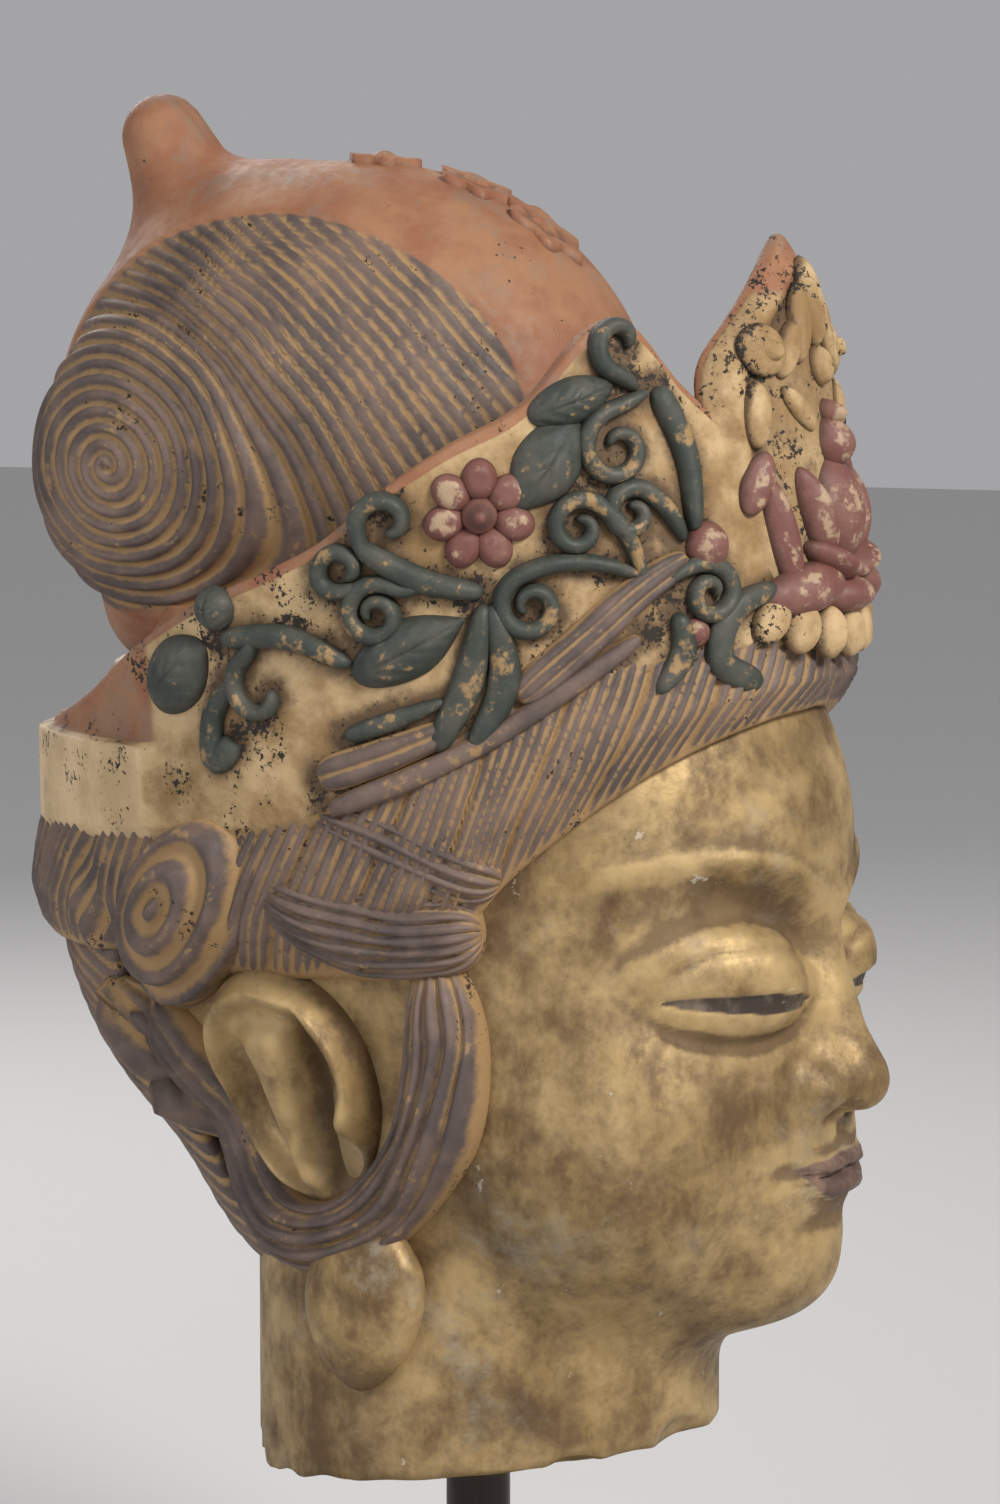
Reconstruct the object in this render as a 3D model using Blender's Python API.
"""A painted and gilded bodhisattva head on its display stand: head, rod and base block.

The head is modelled in parts, 340 to its height, as a modeller paces out a head. X runs across
it, the face looks along -Y, and heights run up from the neck's cut. Places on its side are given
as a turn from the face, in degrees, and a height. Both sides match, so a place is worked out for
one side and mirrored for the other.
"""

import math

import bmesh
import bpy
import mathutils
import numpy as np

# Driving sizes, in metres
HEAD_HEIGHT = 0.340
ROD_DIAMETER = 0.016
ROD_SHOWN = 0.060
SOCKET_DEPTH = 0.055
BASE_WIDTH = 0.150
BASE_DEPTH = 0.150
BASE_THICKNESS = 0.030
BASE_EDGE = 0.002
ROD_SEAT_DEPTH = 0.015
FIT_GAP = 0.0003
NECK_CUT = BASE_THICKNESS + ROD_SHOWN
NECK_SLOPE = math.radians(6.5)
NECK_LEAST = 0.007

# The modeller's scale and the fineness of the head's skin
PARTS_TALL = 340
PART = HEAD_HEIGHT / PARTS_TALL
SKIN_VOXEL = 1.9
HEAD_TRIANGLES = 9300

AXIS_Y = 6.0


def blend(a, b, width):
    """The union of two distances, rounded where they meet."""
    share = np.clip(0.5 + 0.5 * (b - a) / width, 0, 1)
    return b * (1 - share) + a * share - width * share * (1 - share)


def carve(a, b, width):
    """The distance a with b cut out of it, rounded at the edge."""
    return -blend(-a, b, width)


def ellipsoid(p, centre, radii):
    """About the distance from points to an ellipsoid, negative inside."""
    q = p - np.array(centre)
    radii = np.array(radii)
    near = np.linalg.norm(q / radii, axis=1)
    slope = np.linalg.norm(q / radii**2, axis=1) + 1e-9
    return near * (near - 1) / slope


def horn(p, start, end, start_radius, end_radius):
    """The distance to a rod with round ends that tapers from start to end."""
    start, end = np.array(start), np.array(end)
    way = end - start
    share = np.clip((p - start) @ way / (way @ way), 0, 1)
    spot = start + share[:, None] * way
    return np.linalg.norm(p - spot, axis=1) - (start_radius + (end_radius - start_radius) * share)


def hill(x, middle, width):
    """A smooth bump of height 1."""
    return np.exp(-(((x - middle) / width) ** 2))


def step(x, edge, width):
    """0 below the edge, 1 above it, smooth over about the width."""
    return 0.5 + 0.5 * np.tanh((x - edge) / width)


def flesh(p):
    """The field of the face, skull and neck, without the fine shaping of the features."""
    q = np.column_stack((np.abs(p[:, 0]), p[:, 1], p[:, 2]))
    d = ellipsoid(q, (0, 6, 160), (70, 102, 84))
    d = blend(d, ellipsoid(q, (0, -27, 108), (62, 67, 68)), 16)
    d = blend(d, ellipsoid(q, (0, -36, 72), (50, 51, 41)), 16)
    d = blend(d, ellipsoid(q, (34, -50, 92), (27, 29, 30)), 20)
    d = blend(d, ellipsoid(q, (0, -78, 59), (19, 16, 14)), 14)
    d = blend(d, ellipsoid(q, (0, -80, 84), (24, 15, 17)), 14)
    neck = np.hypot(q[:, 0] / 54, (q[:, 1] + 3) / 58) * 56 - 56
    neck = np.maximum(neck, q[:, 2] - 110)
    d = blend(d, neck, 9)
    nose = horn(q, (0, -87, 144), (0, -97, 109), 6.5, 7.5)
    nose = blend(nose, horn(q, (0, -97, 107), (0, -101, 104), 8, 7.5), 5)
    nose = blend(nose, ellipsoid(q, (10.5, -92, 103), (6.5, 9, 6.8)), 4)
    return blend(d, nose, 6)


def brow_height(x):
    """How high the brow's line runs, at a distance x from the face's middle."""
    return 147 + 12.5 * np.sin(np.clip(x - 5, 0, 58) / 58 * math.pi * 0.86)


def features(p):
    """How far the brows, eyes and mouth stand forward of the plain face, in parts."""
    x, z = np.abs(p[:, 0]), p[:, 2]
    front = step(-p[:, 1], 40, 6)
    brow = 2.8 * np.exp(-np.abs((z - brow_height(x)) / 3.0) ** 1.6) * hill(x, 30, 27)
    socket = -6.5 * hill(x, 26, 17) * hill(z, brow_height(x) - 10, 7)
    corner = -4.5 * hill(x, 14, 6.5) * hill(z, 135, 8)
    across, up = (x - 31) / 23, (z - 131) / 15
    ball = 8.5 * np.clip(1 - across**2 - up**2, 0, 1) ** 0.85
    long = np.clip(1 - ((x - 31) / 19) ** 2, 0, 1)
    upper_edge = 126.5 + 1.8 * long + 0.07 * (x - 31)
    lower_edge = 126.0 - 2.8 * long**0.8 + 0.07 * (x - 31)
    within = step(long, 0.06, 0.05)
    lid = 2.1 * (step(z, upper_edge, 0.4) - 1) * within * step(z, lower_edge - 9, 2)
    lower_lid = 1.1 * step(-z, -lower_edge, 0.4) * within * hill(z, lower_edge - 2, 4)
    crease = -1.3 * hill(z, upper_edge + 11.5 * long**0.5, 1.0) * within
    slit = 82.0 + 0.9 * hill(x, 0, 5) - 1.0 * hill(x, 9, 6) + 2.4 * (x / 22) ** 2
    bow = 5.6 * np.clip(1 - (x / 22) ** 2, 0, 1) - 1.3 * hill(x, 0, 3.2)
    full = 6.6 * np.clip(1 - (x / 18.5) ** 2, 0, 1)
    upper = np.clip((z - slit) / np.maximum(bow, 0.3), 0, 1)
    lower = np.clip((slit - z) / np.maximum(full, 0.3), 0, 1)
    lips = 3.2 * np.sqrt(np.clip(np.sin(math.pi * upper), 0, 1)) * hill(x, 0, 19)
    lips += 4.0 * np.sqrt(np.clip(np.sin(math.pi * lower), 0, 1)) * hill(x, 0, 15)
    seam = -1.8 * hill(z, slit, 1.0) * step(-x, -22, 1.5)
    dimple = -1.6 * hill(x, 23, 2.8) * hill(z, 84, 3)
    philtrum = -1.2 * hill(x, 0, 2.4) * hill(z, 92, 4)
    chin_fold = -2.6 * hill(x, 0, 13) * hill(z, 70, 3.2)
    nostril = -3.0 * hill(x, 6.5, 2.6) * hill(z, 95.5, 1.8)
    return front * (
        brow + socket + corner + ball + lid + lower_lid + crease
        + lips + seam + dimple + philtrum + chin_fold + nostril
    )


def cast(origins, directions, field, far, rounds=34):
    """How far along each direction the field's outer surface is, coming from outside."""
    reach = np.full(len(directions), float(far))
    for _ in range(rounds):
        reach -= 0.85 * field(origins + reach[:, None] * directions)
        reach = np.clip(reach, 0, far)
    return reach


class Carrier:
    """A surface round the head's upright axis, read as a radius at a turn and a height."""

    def __init__(self, radius):
        self.radius = radius

    @classmethod
    def of_field(cls, field, top):
        """A table of the field's radii, one to a part and three degrees."""
        turns = np.radians(np.arange(0, 181, 3))
        heights = np.arange(0, top, 2.0)
        t, z = (a.ravel() for a in np.meshgrid(turns, heights, indexing="ij"))
        origins = np.column_stack((0 * t, 0 * t + AXIS_Y, z))
        out = np.column_stack((-np.sin(t), -np.cos(t), 0 * t))
        table = cast(origins, out, field, 150).reshape(len(turns), len(heights))

        def radius(turn, height):
            i = np.clip(np.abs(turn) / turns[1], 0, len(turns) - 1.001)
            j = np.clip(height / heights[1], 0, len(heights) - 1.001)
            a, b = i.astype(int), j.astype(int)
            f, g = i - a, j - b
            low = table[a, b] * (1 - f) + table[a + 1, b] * f
            high = table[a, b + 1] * (1 - f) + table[a + 1, b + 1] * f
            return low * (1 - g) + high * g

        return cls(radius)

    def lift(self, turn, height, above, side=1):
        """Points that stand above the surface, at turns in radians; side 1 is the head's right."""
        small = 0.02
        r = self.radius(turn, height)
        by_turn = (self.radius(turn + small, height) - self.radius(turn - small, height)) / (2 * small)
        by_height = self.radius(turn, height + 1) - self.radius(turn, height - 1)
        by_height = by_height / 2
        zero = np.zeros_like(r)
        out = np.column_stack((-side * np.sin(turn), -np.cos(turn), zero))
        along = np.column_stack((-side * np.cos(turn), np.sin(turn), zero))
        normal = r[:, None] * out - by_turn[:, None] * along
        normal[:, 2] -= r * by_height
        normal /= np.linalg.norm(normal, axis=1)[:, None]
        spot = np.column_stack((zero, zero + AXIS_Y, height + zero)) + r[:, None] * out
        return spot + above[:, None] * normal


def wrapped(segments, rings, place):
    """A closed skin: a sphere's points, given as a share along it and an angle round it."""
    bm = bmesh.new()
    bmesh.ops.create_uvsphere(bm, u_segments=segments, v_segments=rings, radius=1)
    unit = np.array([v.co[:] for v in bm.verts])
    along = np.arccos(np.clip(-unit[:, 2], -1, 1)) / math.pi
    around = np.arctan2(unit[:, 1], unit[:, 0])
    for vert, spot in zip(bm.verts, place(along, around)):
        vert.co = spot
    bmesh.ops.recalc_face_normals(bm, faces=bm.faces)
    return bm


def core_form(segments=110, rings=96):
    """The face, skull and neck as one skin, cast outwards from the middle of the head."""
    middle = np.array((0.0, -6.0, 112.0))

    def place(along, around):
        tilt = along * math.pi
        ahead = around + math.pi / 2
        turn = ahead - 0.35 * np.sin(ahead)
        ray = np.column_stack((np.sin(turn), -np.cos(turn), 0 * turn))
        ray = ray * np.sin(tilt)[:, None]
        ray[:, 2] = -np.cos(tilt)
        reach = cast(middle, ray, flesh_and_foot, 260)
        spots = middle + reach[:, None] * ray
        spots[:, 1] -= features(spots)
        return spots

    return wrapped(segments, rings, place)


def flesh_and_foot(p):
    """The flesh, with the neck run on below its cut, closed there and chipped at its front rim."""
    d = flesh(p)
    for spot, size in NECK_CHIPS:
        d = carve(d, ellipsoid(p, spot, size), 1.5)
    return np.maximum(d, -12 - p[:, 2])


# Chips broken from the neck's lower rim: where, and their half sizes
NECK_CHIPS = (((-12, -64, 12), (15, 9, 9)), ((-38, -44, 9), (8, 8, 5)), ((-30, 52, 4), (11, 8, 5)))


def along_knots(value, knots):
    """A smooth curve through (place, size) knots."""
    places, sizes = np.array(knots, float).T
    i = np.clip(np.searchsorted(places, value) - 1, 0, len(places) - 2)
    f = np.clip((value - places[i]) / (places[i + 1] - places[i]), 0, 1)
    slopes = np.gradient(sizes, places)
    gap = places[i + 1] - places[i]
    h00 = 2 * f**3 - 3 * f**2 + 1
    h10 = f**3 - 2 * f**2 + f
    h01 = -2 * f**3 + 3 * f**2
    h11 = f**3 - f**2
    return h00 * sizes[i] + h10 * gap * slopes[i] + h01 * sizes[i + 1] + h11 * gap * slopes[i + 1]


# The crown's lower and upper edge: (turn from the face in degrees, height)
CROWN_FOOT = ((0, 207), (20, 209), (40, 204), (60, 192), (78, 176), (95, 167), (120, 164), (150, 161), (180, 159))
CROWN_RIM = (
    (0, 262), (18, 262), (27, 272), (36, 286), (44, 284), (54, 268), (66, 258),
    (76, 248), (86, 236), (97, 228), (112, 219), (126, 208), (140, 196), (154, 189), (180, 187),
)
CROWN_HALF_WIDTH = 79
CROWN_FRONT = 99
CROWN_BACK = 105
CROWN_FLARE = 9
WALL = 9.0
BAND_TOP = 185
BAND_PROUD = 3.5


def crown_radius(turn, height):
    """The outside of the crown's wall."""
    degrees = np.degrees(np.abs(turn))
    deep = np.where(np.cos(turn) > 0, CROWN_FRONT, CROWN_BACK)
    plain = 1 / np.hypot(np.sin(turn) / CROWN_HALF_WIDTH, np.cos(turn) / deep)
    foot = along_knots(degrees, CROWN_FOOT)
    rise = np.clip((height - foot) / 70, -0.2, 1.4)
    lean = CROWN_FLARE * np.sin(turn) ** 2 - 16 * hill(degrees, 0, 38) * rise
    band = BAND_PROUD * step(degrees, 120, 3) * step(-height, -BAND_TOP, 0.8)
    return plain + lean * rise + band


def crown_form(segments=120, rings=40):
    """The crown's wall and the sloping top of the head inside it, as one closed ring."""
    # Each ring of points: share along the profile, how far inside the wall, base, height above it
    def place(along, around):
        turn = around + math.pi / 2
        turn = np.arctan2(np.sin(turn), np.cos(turn))
        degrees = np.degrees(np.abs(turn))
        foot, rim = along_knots(degrees, CROWN_FOOT), along_knots(degrees, CROWN_RIM)
        floor = 214 + 0 * rim
        inner = 46 + 0 * rim
        wall_low, wall_high = crown_radius(turn, foot), crown_radius(turn, rim)
        # profile corners as (radius, height)
        corners = (
            (0 * rim, foot - 16), (wall_low - 20, foot - 12), (wall_low - 1.5, foot - 1), (wall_low, foot + 1.5),
            (wall_high, rim - 3.5), (wall_high - 1, rim - 0.8), (wall_high - WALL * 0.5, rim),
            (wall_high - WALL, rim - 2), (wall_high - WALL - 1.5, np.minimum(rim + 1, floor + 2)),
            (inner + 12, floor + 3), (0 * rim, floor + 8),
        )
        shares = (0, 0.10, 0.16, 0.18, 0.62, 0.66, 0.70, 0.74, 0.80, 0.90, 1.0)
        radius, height = 0 * rim, 0 * rim
        for k in range(len(shares) - 1):
            here = (along >= shares[k]) & (along <= shares[k + 1])
            f = np.clip((along - shares[k]) / (shares[k + 1] - shares[k]), 0, 1)
            radius = np.where(here, corners[k][0] * (1 - f) + corners[k + 1][0] * f, radius)
            height = np.where(here, corners[k][1] * (1 - f) + corners[k + 1][1] * f, height)
        outer = (along > 0.18) & (along < 0.62)
        radius = np.where(outer, crown_radius(turn, height), radius)
        middle = hill(radius, 0, 14)
        height = height * (1 - middle) + np.where(along < 0.5, 150.0, 222.0) * middle
        return np.column_stack((np.sin(turn) * radius, AXIS_Y - np.cos(turn) * radius, height))

    return wrapped(segments, rings, place)


BUN_MIDDLE = np.array((0.0, 34.0, 258.0))
BUN_RADII = (58, 77, 65)
CURL_AT = np.array((36.0, 70.0, 250.0))


def bun(p):
    """The field of the topknot, with the rolled end of its hair on each side."""
    q = np.column_stack((np.abs(p[:, 0]), p[:, 1], p[:, 2]))
    d = ellipsoid(q, BUN_MIDDLE, BUN_RADII)
    d = blend(d, ellipsoid(q, CURL_AT, (19, 33, 36)), 8)
    d = blend(d, ellipsoid(q, (0, 60, 288), (28, 30, 34)), 10)
    d = blend(d, horn(q, (0, 76, 305), (0, 86.5, 329.5), 14.5, 10.5), 12)
    return blend(d, ellipsoid(q, (0, 50, 212), (44, 48, 22)), 12)


CURL_MIDDLE = (74.0, 250.0)
CURL_STRAND = 6.5
CLOTH_HALF = ((-60, 31), (-25, 34), (0, 36), (40, 34), (110, 26))
CURL_TILT = math.radians(25)


def combed(spots):
    """How far the topknot's strands, wound in one long curl, stand out; the cloth on top is plain."""
    across, y, z = np.abs(spots[:, 0]), spots[:, 1] - CURL_MIDDLE[0], spots[:, 2] - CURL_MIDDLE[1]
    far, near = -y * math.cos(CURL_TILT) - z * math.sin(CURL_TILT), z * math.cos(CURL_TILT) - y * math.sin(CURL_TILT)
    long = 1.12 + 0.45 * step(np.hypot(y, z), 46, 12)
    reach = np.hypot(far / long, near)
    wind = np.arctan2(z, y) / (2 * math.pi)
    strand_share = (reach + 0.004 * reach**2) / CURL_STRAND + wind
    ridge = 0.5 - 0.5 * np.cos(2 * math.pi * strand_share)
    hair = step(across, along_knots(spots[:, 1], CLOTH_HALF), 1.2)
    valley = 2.5 * hill(reach, 38, 5) * step(-y, 0, 10)
    return hair * (2.0 * ridge**0.8 - 1.6 - valley) + 0.8 * (1 - hair)


def bun_form(segments=210, rings=150):
    """The topknot and the knob on top of it."""
    def place(along, around):
        tilt = along * math.pi
        ray = np.column_stack((np.cos(around), np.sin(around), 0 * around)) * np.sin(tilt)[:, None]
        ray[:, 2] = -np.cos(tilt)
        reach = cast(BUN_MIDDLE, ray, bun, 120)
        spots = BUN_MIDDLE + reach[:, None] * ray
        on_hair = step(spots[:, 2], 214, 3)
        return spots + (combed(spots) * on_hair)[:, None] * ray

    return wrapped(segments, rings, place)


def plaque_lean(height):
    """How far forward the plaque stands at a height."""
    return -93 + 14 * np.clip((height - 204) / 102, 0, 1) ** 1.5


class Plate:
    """The plaque's front, read like a carrier: a turn of one degree is one part across."""

    def radius(self, turn, height):
        return 180 / math.pi + 0 * turn

    def lift(self, turn, height, above, side=1):
        across = np.degrees(turn)
        y = plaque_lean(height) + 0.011 * across**2 - 4.2 - above
        return np.column_stack((-side * across, y, height))


def plaque_form(segments=64, rings=40):
    """The tall pointed plaque on the crown's front: a bowed shield with two low side lobes."""
    def place(along, around):
        reach = np.sin(along * math.pi)
        across, up = np.cos(around), np.sin(around)
        share = np.abs(across) ** 1.0
        height = 255 + np.where(up > 0, 51, 50) * up * reach
        half = along_knots(height, ((204, 27), (235, 33), (262, 34), (278, 34), (288, 27), (298, 18), (306, 8)))
        x = half * across * reach * (1.12 - 0.12 * share)
        front = along > 0.5
        depth = np.where(front, 1.0, -1.0) * np.cos(np.clip(reach, 0, 1) * math.pi / 2) ** 0.35
        lean = plaque_lean(height)
        y = lean + 0.011 * x**2 + np.where(front, -4.5, 9.0) * np.abs(depth)
        return np.column_stack((x, y, height))

    return wrapped(segments, rings, place)


def hair_back(p):
    """The field of the combed hair below the crown's band, from behind the ears to the nape."""
    q = np.column_stack((np.abs(p[:, 0]), p[:, 1], p[:, 2]))
    d = ellipsoid(q, (0, 14, 150), (73, 97, 92))
    d = blend(d, ellipsoid(q, (0, 13, 72), (50, 51, 34)), 22)
    edge = np.minimum(0.62 * q[:, 2] + 1, 70) - q[:, 1]
    d = carve(d, -edge, 5)
    return np.maximum(d, q[:, 2] - 172)


def hair_back_form(segments=150, rings=110):
    """The hair of the back of the head."""
    middle = np.array((0.0, 84.0, 118.0))

    def place(along, around):
        tilt = along * math.pi
        ray = np.column_stack((np.cos(around), np.sin(around), 0 * around)) * np.sin(tilt)[:, None]
        ray[:, 2] = -np.cos(tilt)
        reach = cast(middle, ray, hair_back, 130)
        spots = middle + reach[:, None] * ray
        across = 0.45 * np.abs(spots[:, 0]) + 0.9 * spots[:, 2]
        combs = 0.5 - 0.5 * np.cos(2 * math.pi * across / 8.0)
        return spots + (1.8 * combs - 1.0)[:, None] * ray

    return wrapped(segments, rings, place)


def smooth_line(points, count):
    """Points spaced along a smooth curve through the given ones."""
    points = np.array(points, float)
    gaps = np.linalg.norm(np.diff(points * (1.2, 1), axis=0), axis=1)
    places = np.concatenate(([0], np.cumsum(gaps)))
    spots = np.linspace(0, places[-1], count)
    return np.column_stack([along_knots(spots, np.column_stack((places, c))) for c in points.T])


def spiral(centre, size, begins, winds, tail, carrier):
    """A route that runs in from its tail, given in parts from the centre, and winds up in a curl."""
    turn, height = centre
    reach = carrier.radius(np.radians(np.array([turn])), np.array([height]))[0]
    angles = np.radians(begins) + np.linspace(0, 1, 26) * winds * 2 * math.pi
    radii = size * np.linspace(1, 0.2, 26)
    curl = np.column_stack((radii * np.cos(angles), radii * np.sin(angles)))
    heading = np.array((-math.sin(angles[0]), math.cos(angles[0]))) * np.sign(winds)
    tail = np.array(tail, float)
    bend = curl[0] - heading * np.linalg.norm(curl[0] - tail) * 0.5
    f = np.linspace(0, 1, 14)[:-1, None]
    stem = tail * (1 - f) ** 2 + 2 * bend * f * (1 - f) + curl[0] * f**2
    flat = np.vstack((stem, curl))
    return np.column_stack((turn - np.degrees(flat[:, 0] / reach), height + flat[:, 1]))


def strand(carrier, route, width, rise, ridges=1, groove=0.35, sink=2.5, tip=2.6, side=1, segments=10, rings=14):
    """A raised strip of one or more ridges along a route of (turn, height) points."""
    route = smooth_line(route, 60) if len(route) < 30 else np.array(route, float)
    turns, heights = np.radians(route[:, 0]), route[:, 1]
    reach = carrier.radius(turns, heights)
    run = np.column_stack((-np.gradient(turns) * reach, np.gradient(heights)))
    run /= np.linalg.norm(run, axis=1)[:, None] + 1e-9
    gaps = np.hypot(np.diff(turns) * reach[1:], np.diff(heights))
    share = np.concatenate(([0], np.cumsum(gaps)))
    share /= share[-1]
    ends = np.asarray(width, float) * np.ones(2) if np.ndim(width) == 0 else np.asarray(width, float)
    widths = np.interp(share, np.linspace(0, 1, len(ends)), ends)

    def place(along, around):
        turn = np.interp(along, share, turns)
        height = np.interp(along, share, heights)
        way_a, way_b = np.interp(along, share, run[:, 0]), np.interp(along, share, run[:, 1])
        taper = np.clip(1 - np.abs(2 * along - 1) ** (tip * 3), 0, 1) ** 0.5
        half = np.interp(along, share, widths) * taper
        across, up = np.cos(around), np.sin(around)
        ridge = np.abs(np.sin(math.pi * ridges * (across + 1) / 2)) ** 0.7 if ridges > 1 else 1.0
        crest = rise * taper * np.clip(up, 0, 1) ** 0.75 * (1 - groove + groove * ridge)
        above = np.where(up > 0, crest, sink * up)
        off = half * across
        here = carrier.radius(turn, height)
        turn = turn - (off * -way_b) / here
        height = height + off * way_a
        return carrier.lift(turn, height, above, side)

    return wrapped(segments, rings, place)


def boss(carrier, centre, length, width, rise, lean=0, rings_cut=0, groove=1.0, sink=3.0, point=0.0,
         side=1, segments=16, rings=12):
    """A domed oval, leaf or bead on a carrier. Its long way leans from upright towards the face."""
    turn0, height0 = math.radians(centre[0]), centre[1]
    lean = math.radians(lean)

    def place(along, around):
        reach = np.sin(along * math.pi)
        long, wide = np.sin(around) * reach, np.cos(around) * reach
        narrow = 1 - point * np.clip(long, 0, 1) ** 2
        a, b = wide * width * narrow, long * length
        off_a = a * math.cos(lean) + b * math.sin(lean)
        off_b = -a * math.sin(lean) + b * math.cos(lean)
        dome = rise * np.cos(np.clip(reach, 0, 1) * math.pi / 2) ** 0.6
        if rings_cut:
            dome = dome - groove * (0.5 - 0.5 * np.cos(2 * math.pi * rings_cut * reach)) * (reach < 0.97)
        above = np.where(along > 0.5, dome, -sink * np.sqrt(np.clip(1 - reach**2, 0, 1)))
        here = carrier.radius(turn0 - off_a / 60, height0 + off_b)
        return carrier.lift(turn0 - off_a / here, height0 + off_b, above, side)

    return wrapped(segments, rings, place)


EAR_AT = (103.5, 103.0)
EAR_HALF_WIDTH = 24
EAR_HALF_HEIGHT = 30


def ear_relief(a, b):
    """How far the ear stands out at a place on it, in shares of its half width and half height."""
    rim = np.hypot(a, b)
    angle = np.degrees(np.arctan2(b, a))
    helix = 6.5 * hill(rim, 0.87, 0.12) * step(-np.abs(angle - 112), -118, 12)
    arc = np.hypot(a - 0.34, (b + 0.08) / 1.15)
    fold = 6.0 * hill(arc, 0.56, 0.14) * step(-a, -0.42, 0.10)
    bowl = -10.0 * np.exp(-((arc / 0.40) ** 2.5))
    root = 4.0 * hill(b, 0.16 + 0.25 * (a - 0.3), 0.09) * step(a, 0.12, 0.08) * step(-a, -0.8, 0.06)
    flap = 8.0 * hill(a, 0.70, 0.17) * hill(b, -0.26, 0.20)
    notch = 5.5 * hill(a, 0.36, 0.20) * hill(b, -0.70, 0.14)
    return 5.5 + helix + fold + bowl + root + flap + notch


def ear_form(carrier, side, segments=48, rings=40):
    """The ear, a modelled oval that stands out from the side of the head."""
    turn0, height0 = math.radians(EAR_AT[0]), EAR_AT[1]

    def place(along, around):
        reach = np.sin(along * math.pi)
        a, b = np.cos(around) * reach, np.sin(around) * reach
        narrow = 1 - 0.26 * np.clip(-b, 0, 1) ** 1.5
        lean = 0.10 * b * EAR_HALF_HEIGHT
        off_a = a * EAR_HALF_WIDTH * narrow - lean + 3 * np.clip(-b, 0, 1)
        off_b = b * EAR_HALF_HEIGHT
        edge = np.clip((1 - reach) / 0.10, 0, 1) ** 0.5
        above = np.where(along > 0.5, ear_relief(a, b) * edge - 2 * (1 - edge), -4.0)
        return carrier.lift(turn0 - off_a / 64, height0 + off_b, above + 2, side)

    return wrapped(segments, rings, place)


def lobe_form(side, segments=24, rings=20):
    """The long ear lobe that hangs below the loop of hair."""
    def place(along, around):
        reach = np.sin(along * math.pi)
        down = 1 - along
        z = 74 - 45 * down
        half = np.interp(down, (0, 0.3, 0.8, 1), (14, 16, 14.5, 12)) * reach**0.5
        thick = np.interp(down, (0, 0.4, 1), (8, 8.5, 8)) * reach**0.5
        x = -(59 - 3 * down + thick * np.cos(around))
        y = 1 + 4 * down + half * np.sin(around)
        return np.column_stack((side * x, y, z))

    return wrapped(segments, rings, place)


# The lower edge of the hair under the crown: (turn, height)
HAIRLINE = (
    (0, 194), (13, 192), (33, 181), (47, 167), (57, 154), (64, 142), (72, 134), (90, 131), (112, 130), (132, 132),
    (180, 132),
)
FRINGE_PROUD = 8.0
FRINGE_STRAND = 6.0
FRINGE_SLANT = 0.55


def fringe_form(carrier, segments=260, rings=40):
    """The combed hair all round under the crown, from its foot to the hairline, with slanted strands."""
    def place(along, around):
        turn = np.arctan2(np.sin(around + math.pi / 2), np.cos(around + math.pi / 2))
        degrees = np.degrees(np.abs(turn))
        low, high = along_knots(degrees, HAIRLINE), along_knots(degrees, CROWN_FOOT) + 5
        up = np.clip((along - 0.25) / 0.6, 0, 1)
        height = low + (high - low) * up
        skin = carrier.radius(np.abs(turn), height)
        to_crown = np.maximum(crown_radius(turn, high) - 1.5 - carrier.radius(np.abs(turn), high), 3)
        proud = FRINGE_PROUD * (1 - up) + to_crown * up
        proud = proud * np.clip(np.sin(math.pi * np.clip(up * 0.5 + 0.02, 0, 1)) * 1.6, 0, 1) ** 0.5
        across = degrees * 1.45 + FRINGE_SLANT * (height - low)
        combs = 0.5 - 0.5 * np.cos(2 * math.pi * across / FRINGE_STRAND)
        bundle = hill((across / (FRINGE_STRAND * 4)) % 1, 0, 0.12) + hill((across / (FRINGE_STRAND * 4)) % 1, 1, 0.12)
        outer = (along >= 0.25) & (along <= 0.85)
        lift = np.where(outer, proud + (1.6 * combs - 1.0 - 1.6 * bundle) * np.clip(up * 8, 0, 1), 0)
        inner = np.where(along < 0.25, along / 0.25, (1 - along) / 0.15)
        radius = np.where(outer, skin + lift, (skin - 6) * np.clip(inner, 0, 1))
        height = np.where(outer, height, 150 + (height - 150) * np.clip(inner, 0, 1))
        return np.column_stack((np.sin(turn) * radius, AXIS_Y - np.cos(turn) * radius, height))

    return wrapped(segments, rings, place)


def hair_locks(carrier, side):
    """The combed locks of one side: the fringe, the temple, the loop round the ear and the bow."""
    forms = []
    temple = ((92, 172), (80, 167), (68, 161), (56, 156))
    forms.append(strand(carrier, temple, (5, 8, 8), 10.5, ridges=3, side=side, segments=20, rings=14))
    cheek = ((102, 152), (90, 146), (76, 143), (59, 144))
    forms.append(strand(carrier, cheek, (7, 11, 10), 11.5, ridges=4, side=side, segments=28, rings=16))
    loop = ((68, 138), (66, 114), (69, 93), (80, 76), (97, 66), (114, 68), (127, 82), (136, 102), (142, 126))
    forms.append(strand(carrier, loop, (10, 9.5, 9, 9, 10), 12.5, ridges=3, side=side, segments=24, rings=44))
    forms.append(
        boss(carrier, (121, 148), 35, 19, 15, lean=42, rings_cut=2, groove=3.5, side=side, segments=32, rings=30)
    )
    for turn, height in ((103, 176), (97, 178), (90, 175)):
        petal = ((95, 156), ((95 + turn) / 2, (156 + height) / 2 + 1), (turn, height))
        forms.append(strand(carrier, petal, (3, 3.4, 2.4), 4.5, side=side))
    return forms


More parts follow.
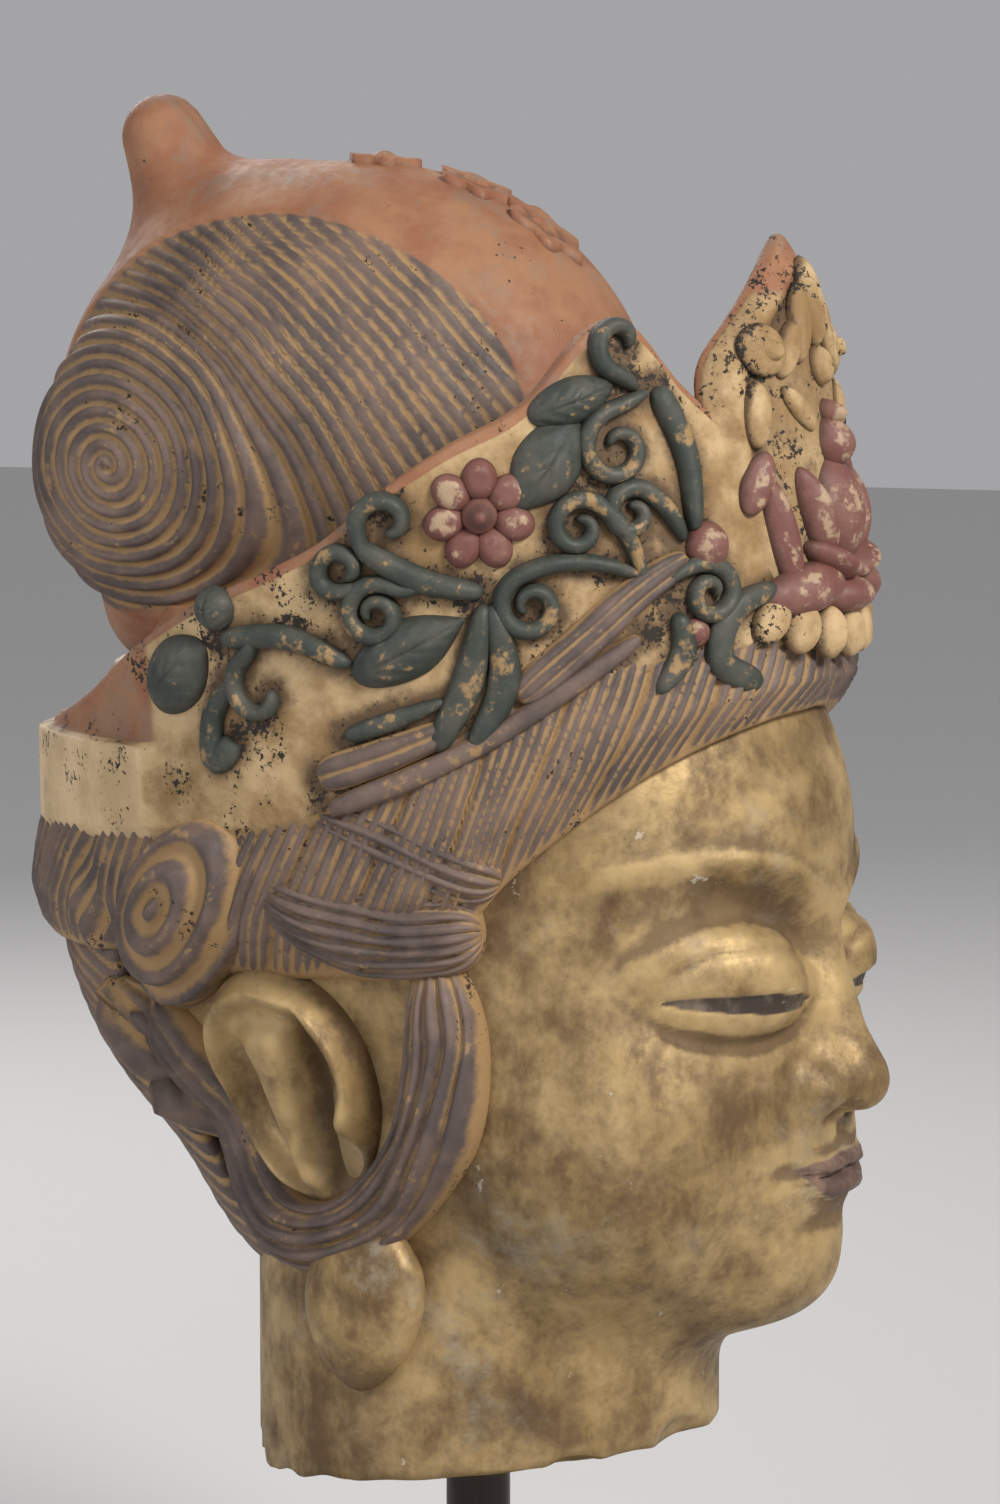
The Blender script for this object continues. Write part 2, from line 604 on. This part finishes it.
# Each curl of the crown: centre, size, where it begins, how far it winds, where its tail starts
CURLS = (
    ((26, 223), 6.5, 60, -1.3, (-12, 2)),
    ((97, 200), 8.5, 130, 0.7, (0, 14)),
    ((82, 229), 6.0, 200, -0.8, (5, -3)),
    ((77, 219), 7.5, 60, 1.5, (12, 8)),
    ((75, 240), 7.0, 180, -0.8, (-4, -9)),
    ((53, 221), 7.5, 120, 1.4, (26, 6)),
    ((46, 239), 6.8, 60, 1.2, (15, -14)),
    ((38, 242), 6.3, 60, 1.2, (13, -7)),
    ((40, 257), 8.8, 110, 1.2, (9, 13)),
    ((39, 281), 7.0, 250, -0.8, (4, -11)),
)
# Each stem or long leaf: route, half widths, rise, ridges
STEMS = (
    (((87, 172), (67, 184), (59, 190), (48, 201), (36, 214)), (3.0, 2.6, 2.4), 3.4, 1),
    (((88, 180), (76, 186), (64, 193)), (4.6, 4.2, 3), 3.6, 2),
    (((83, 190), (75, 194), (66, 199)), (2.2, 2.4, 1.4), 2.6, 1),
    (((55, 199), (44, 214), (36, 225), (29, 232)), (4.6, 4.6, 3.4), 3.8, 3),
    (((68, 187), (63, 202), (60, 222)), (3.0, 4.0, 2.2), 4.0, 1),
    (((62, 187), (57, 203), (59, 222)), (2.4, 4.0, 2.2), 4.0, 1),
    (((104, 212), (92, 213), (81, 207)), (2.6, 3.0, 2.0), 3.6, 1),
    (((101, 204), (107, 193), (107, 183), (103, 188)), (2.0, 3.0, 4.0), 3.4, 1),
    (((80, 235), (70, 227), (60, 224)), (2.6, 3.2, 2.2), 3.8, 1),
    (((33, 271), (29, 257), (28, 237)), (3.4, 3.0, 2.0), 3.8, 1),
    (((14, 224), (22, 219), (24, 207), (17, 201)), (2.4, 3.4, 3.6), 3.8, 1),
    (((31, 219), (30, 210), (34, 200)), (2.2, 3.2, 1.8), 3.6, 1),
)
# Each leaf or bead: centre, half length, half width, rise, lean, how pointed
LEAVES = (
    ((72, 211), 15, 7.0, 5.0, 62, 0.7),
    ((114, 203), 12, 8.5, 5.5, 50, 0.3),
    ((51, 253), 13, 8.0, 5.0, 215, 0.8),
    ((47, 268), 11, 5.5, 5.0, 70, 0.4),
    ((105, 219), 5.5, 5.5, 5.0, 0, 0),
    ((28, 214), 3.6, 3.6, 3.2, 0, 0),
)
FLOWER_AT = (61, 242)
PETALS = 7


def crown_carving(carrier, side):
    """The scrolls, leaves and flower of one side of the crown."""
    forms = []
    for centre, size, begins, winds, tail in CURLS:
        route = spiral(centre, size, begins, winds, tail, carrier)
        forms.append(strand(carrier, route, (2.2, 2.9, 2.6, 2.2), 4.0, side=side, rings=30))
    for route, widths, rise, ridges in STEMS:
        forms.append(strand(carrier, route, widths, rise, ridges=ridges, side=side))
    for centre, length, width, rise, lean, point in LEAVES:
        forms.append(boss(carrier, centre, length, width, rise, lean, point=point, side=side))
    for k in range(PETALS):
        angle = 2 * math.pi * k / PETALS
        reach = carrier.radius(np.radians(np.array([FLOWER_AT[0]])), np.array([FLOWER_AT[1]]))[0]
        spot = (FLOWER_AT[0] - math.degrees(8.2 * math.sin(angle) / reach), FLOWER_AT[1] + 8.2 * math.cos(angle))
        forms.append(boss(carrier, spot, 5.0, 4.2, 4.4, math.degrees(angle), side=side, segments=12, rings=8))
    forms.append(boss(carrier, FLOWER_AT, 4.4, 4.4, 6.0, side=side, segments=12, rings=8))
    return forms


# The plaque's relief, seated figure and all: across, height, half length, half width, rise, lean
FIGURE = (
    (0, 257, 6.5, 5.2, 7, 0), (0, 264, 3.2, 3.0, 6, 0), (0, 241, 13, 9.5, 7, 0), (11.5, 240, 12, 3.8, 6, 16),
    (7.5, 229, 9, 3.6, 8, 62), (16, 223, 6, 13, 6.5, 12), (0, 221, 5, 11, 7.5, 0), (22, 236, 14, 3.4, 3.5, 10),
    (27, 248, 8, 3.4, 3, -24),
)
LOTUS = ((0, 212, 6.5, 4.6, 6, 0), (9.5, 212.5, 6.5, 4.6, 5.5, -6), (19, 214, 6.5, 4.4, 5, -14), (27, 216, 6, 3.8, 4, -26))
TOP_RELIEF = (
    (0, 290, 11, 4.5, 5, 0), (7, 285, 10, 3.2, 4, -16), (13, 279, 8, 3.0, 3.4, -32), (0, 275, 5, 4.2, 5, 0),
    (21, 279, 6.4, 6.4, 4, 0), (21, 279, 3.0, 3.0, 6.5, 0), (12, 265, 7, 2.8, 3.4, 42), (25, 264, 8, 2.8, 3.4, -8),
)
ROSETTES = (25, 0, -18)


def plaque_carving():
    """The small seated figure on its lotus, with the rosettes and leaves above it."""
    plate = Plate()
    forms = []
    for across, height, length, width, rise, lean in FIGURE + LOTUS + TOP_RELIEF:
        for side in (1, -1) if across else (1,):
            forms.append(boss(plate, (across, height), length, width, rise, -lean, side=side))
    return forms


def rosettes():
    """The flat flowers on the topknot's cloth."""
    forms = []
    for y in ROSETTES:
        over = BUN_MIDDLE + (0, y - BUN_MIDDLE[1], 0)
        top = over[2] + cast(over, np.array(((0.0, 0.0, 1.0),)), bun, 120)[0]
        slope = cast(over + (0, 1, 0), np.array(((0.0, 0.0, 1.0),)), bun, 120)[0] + over[2] - top

        def place(along, around):
            reach = np.sin(along * math.pi)
            size = 8.5 * (1 - 0.16 * np.cos(6 * around)) * reach
            rise = np.where(along > 0.5, 1.8 + 1.4 * hill(reach, 0, 0.3) - 0.8 * hill(reach, 0.45, 0.15), -3.0)
            off = size * np.sin(around)
            return np.column_stack((size * np.cos(around), y + off, top + slope * off + rise))

        forms.append(wrapped(24, 12, place))
    return forms


def joined(forms, name):
    """One mesh object of several forms, scaled from parts to metres and set on the rod."""
    whole = bmesh.new()
    for bm in forms:
        piece = bpy.data.meshes.new(name + "_form")
        bm.to_mesh(piece)
        bm.free()
        whole.from_mesh(piece)
        bpy.data.meshes.remove(piece)
    lift = BASE_THICKNESS + ROD_SHOWN
    for vert in whole.verts:
        vert.co = vert.co * PART
        vert.co.z += lift
    mesh = bpy.data.meshes.new(name)
    whole.to_mesh(mesh)
    whole.free()
    obj = bpy.data.objects.new(name, mesh)
    bpy.context.scene.collection.objects.link(obj)
    return obj


def own_skin(obj):
    """The object's mesh with its modifiers taken in, and the modifiers cleared."""
    layers = bpy.context.evaluated_depsgraph_get()
    layers.update()
    mesh = bpy.data.meshes.new_from_object(obj.evaluated_get(layers))
    obj.modifiers.clear()
    obj.data = mesh
    return len(mesh.polygons), sum(len(face.vertices) - 2 for face in mesh.polygons)


def thin_out(head):
    """Bring the head down to its number of triangles."""
    faces, triangles = own_skin(head)
    thin = head.modifiers.new("Thin out", "DECIMATE")
    thin.ratio = min(1.0, HEAD_TRIANGLES / triangles)
    own_skin(head)


def cylinder(name, radius, low, high, segments=48):
    """An upright rod on the stand's axis, from one height to another."""
    bm = bmesh.new()
    bmesh.ops.create_cone(
        bm, cap_ends=True, segments=segments, radius1=radius, radius2=radius, depth=high - low
    )
    bmesh.ops.translate(bm, verts=bm.verts, vec=(0, 0, (low + high) / 2))
    return finished(bm, name)


def finished(bm, name):
    """An object in the scene from a bmesh."""
    mesh = bpy.data.meshes.new(name)
    bm.to_mesh(mesh)
    bm.free()
    obj = bpy.data.objects.new(name, mesh)
    bpy.context.scene.collection.objects.link(obj)
    return obj


def cut(obj, cutter, name):
    """Cut one object out of another and keep the cutter hidden."""
    cutter.hide_render = True
    cutter.display_type = "WIRE"
    boolean = obj.modifiers.new(name, "BOOLEAN")
    boolean.operation = "DIFFERENCE"
    boolean.solver = "EXACT"
    boolean.object = cutter


def cut_neck(head):
    """Saw the neck off flat, a little higher at the front, as the head was cut from its body."""
    bm = bmesh.new()
    bmesh.ops.create_cube(bm, size=1)
    bmesh.ops.scale(bm, vec=(0.3, 0.3, 0.1), verts=bm.verts)
    bmesh.ops.translate(bm, vec=(0, 0, -0.05), verts=bm.verts)
    tilt = mathutils.Matrix.Rotation(-NECK_SLOPE, 3, "X")
    bmesh.ops.rotate(bm, cent=(0, 0, 0), matrix=tilt, verts=bm.verts)
    bmesh.ops.translate(bm, vec=(0, 0, NECK_CUT + NECK_LEAST), verts=bm.verts)
    cut(head, finished(bm, "neck_saw"), "Neck cut")


def stand_rod():
    """The rod that carries the head, seated in the base."""
    return cylinder("stand_rod", ROD_DIAMETER / 2, BASE_THICKNESS - ROD_SEAT_DEPTH, NECK_CUT + SOCKET_DEPTH)


def stand_base():
    """The square block the rod stands in."""
    bm = bmesh.new()
    bmesh.ops.create_cube(bm, size=1)
    bmesh.ops.scale(bm, vec=(BASE_WIDTH, BASE_DEPTH, BASE_THICKNESS), verts=bm.verts)
    bmesh.ops.translate(bm, vec=(0, 0, BASE_THICKNESS / 2), verts=bm.verts)
    bmesh.ops.bevel(bm, geom=bm.edges[:], offset=BASE_EDGE, segments=3, profile=0.5, affect="EDGES")
    return finished(bm, "stand_base")


def main():
    for obj in list(bpy.data.objects):
        bpy.data.objects.remove(obj, do_unlink=True)
    sides = Carrier.of_field(lambda p: np.minimum(flesh(p), hair_back(p)), 230)
    crown = Carrier(crown_radius)
    forms = [core_form(), crown_form(), bun_form(), plaque_form(), hair_back_form()]
    for side in (1, -1):
        forms += [ear_form(sides, side), lobe_form(side)]
        forms += hair_locks(sides, side)
        forms += crown_carving(crown, side)
    forms += plaque_carving() + rosettes() + [fringe_form(sides)]
    head = joined(forms, "head")
    remesh = head.modifiers.new("One skin", "REMESH")
    remesh.mode = "VOXEL"
    remesh.voxel_size = SKIN_VOXEL * PART
    thin_out(head)
    cut_neck(head)
    rod = stand_rod()
    base = stand_base()
    bore = cylinder("rod_bore", ROD_DIAMETER / 2 + FIT_GAP, NECK_CUT - 0.02, NECK_CUT + SOCKET_DEPTH + FIT_GAP)
    cut(head, bore, "Rod socket")
    seat = cylinder(
        "rod_seat", ROD_DIAMETER / 2 + FIT_GAP, BASE_THICKNESS - ROD_SEAT_DEPTH - FIT_GAP, BASE_THICKNESS + 0.01
    )
    cut(base, seat, "Rod seat")
    return head, rod, base


if __name__ == "__main__":
    main()
